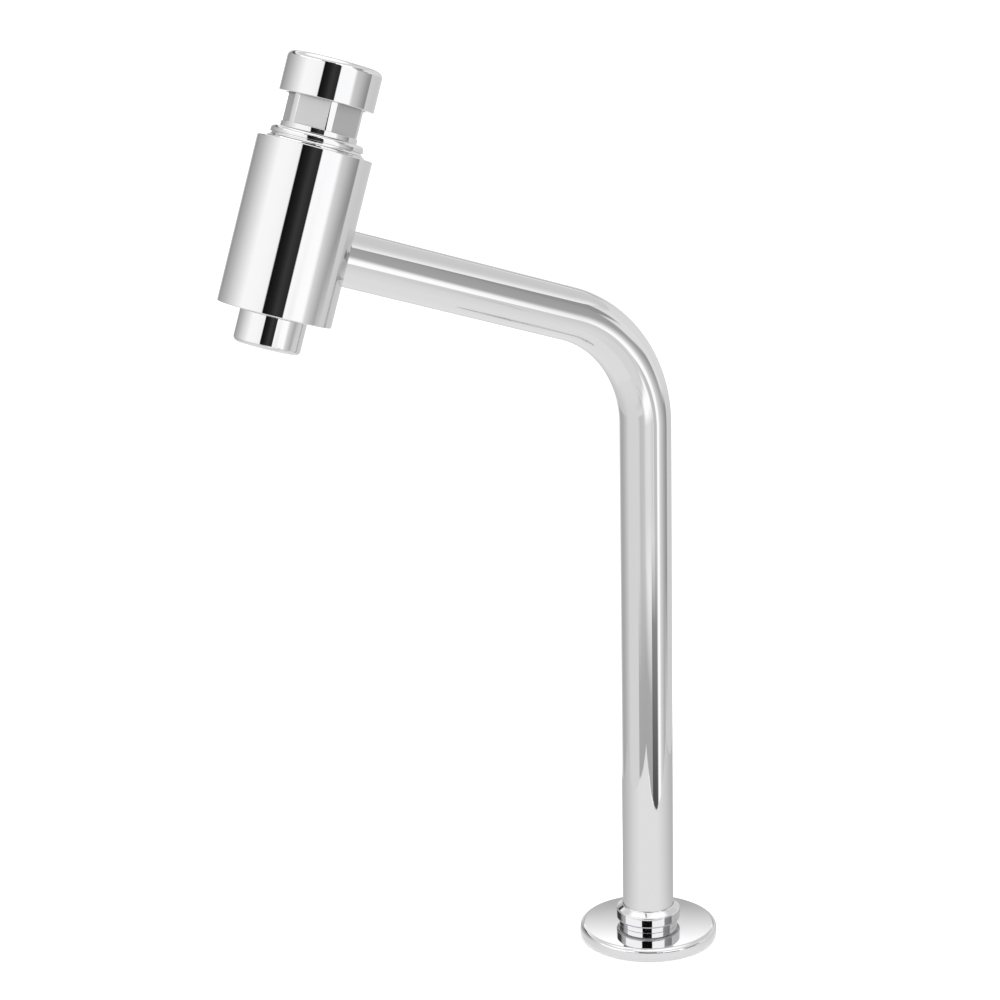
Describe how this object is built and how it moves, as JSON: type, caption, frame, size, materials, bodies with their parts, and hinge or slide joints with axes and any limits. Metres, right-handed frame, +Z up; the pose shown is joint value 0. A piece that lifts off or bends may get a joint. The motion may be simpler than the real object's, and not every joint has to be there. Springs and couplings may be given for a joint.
{
  "type": "self-closing basin tap",
  "caption": "Deck-mounted self-closing basin tap: round flange, tall bent tube and a cylindrical valve body with a push button on a hexagonal neck and a round outlet below.",
  "frame": {"origin": "centre of the inlet's mouth, on the column's axis at the flange's underside", "axes": "+Z up along the column, the arm and the valve body on the -X side"},
  "size_m": [0.1877, 0.0516, 0.3385],
  "materials": {
    "chrome": "polished",
    "stainless": "drawn",
    "brass": "turned",
    "rubber": "moulded",
    "acetal": "moulded"
  },
  "bodies": {
    "root": {"base_flange": "chrome", "inlet_bush": "chrome", "collar": "chrome", "spout_tube": "chrome", "valve_body": "chrome", "bonnet_ring": "chrome", "bonnet": "chrome", "outlet_nozzle": "chrome", "return_spring": "stainless", "cartridge_filter": "stainless", "inlet_strainer": "stainless", "straightener_clip": "stainless", "seat_bush": "brass", "deck_gasket": "rubber", "inlet_washer": "rubber", "seat_seal": "rubber", "guide_seal": "rubber", "stem_seal": "rubber", "bonnet_seal": "rubber", "nozzle_seal": "rubber", "cartridge_sleeve": "acetal", "guide_bush": "acetal", "flow_straightener": "acetal"},
    "button": {"button_cap": "chrome", "stem": "stainless", "piston": "brass", "cup_seal": "rubber", "seat_washer": "rubber", "washer_plate": "stainless", "washer_screw": "stainless"}
  },
  "joints": [
    {"name": "button_press", "type": "slide", "parent": "root", "child": "button", "axis": [-0.309, 0, -0.9511], "range_m": [0, 0.008], "stiffness_N_per_m": 900, "springref_m": -0.01, "deforming": ["return_spring"]}
  ]
}
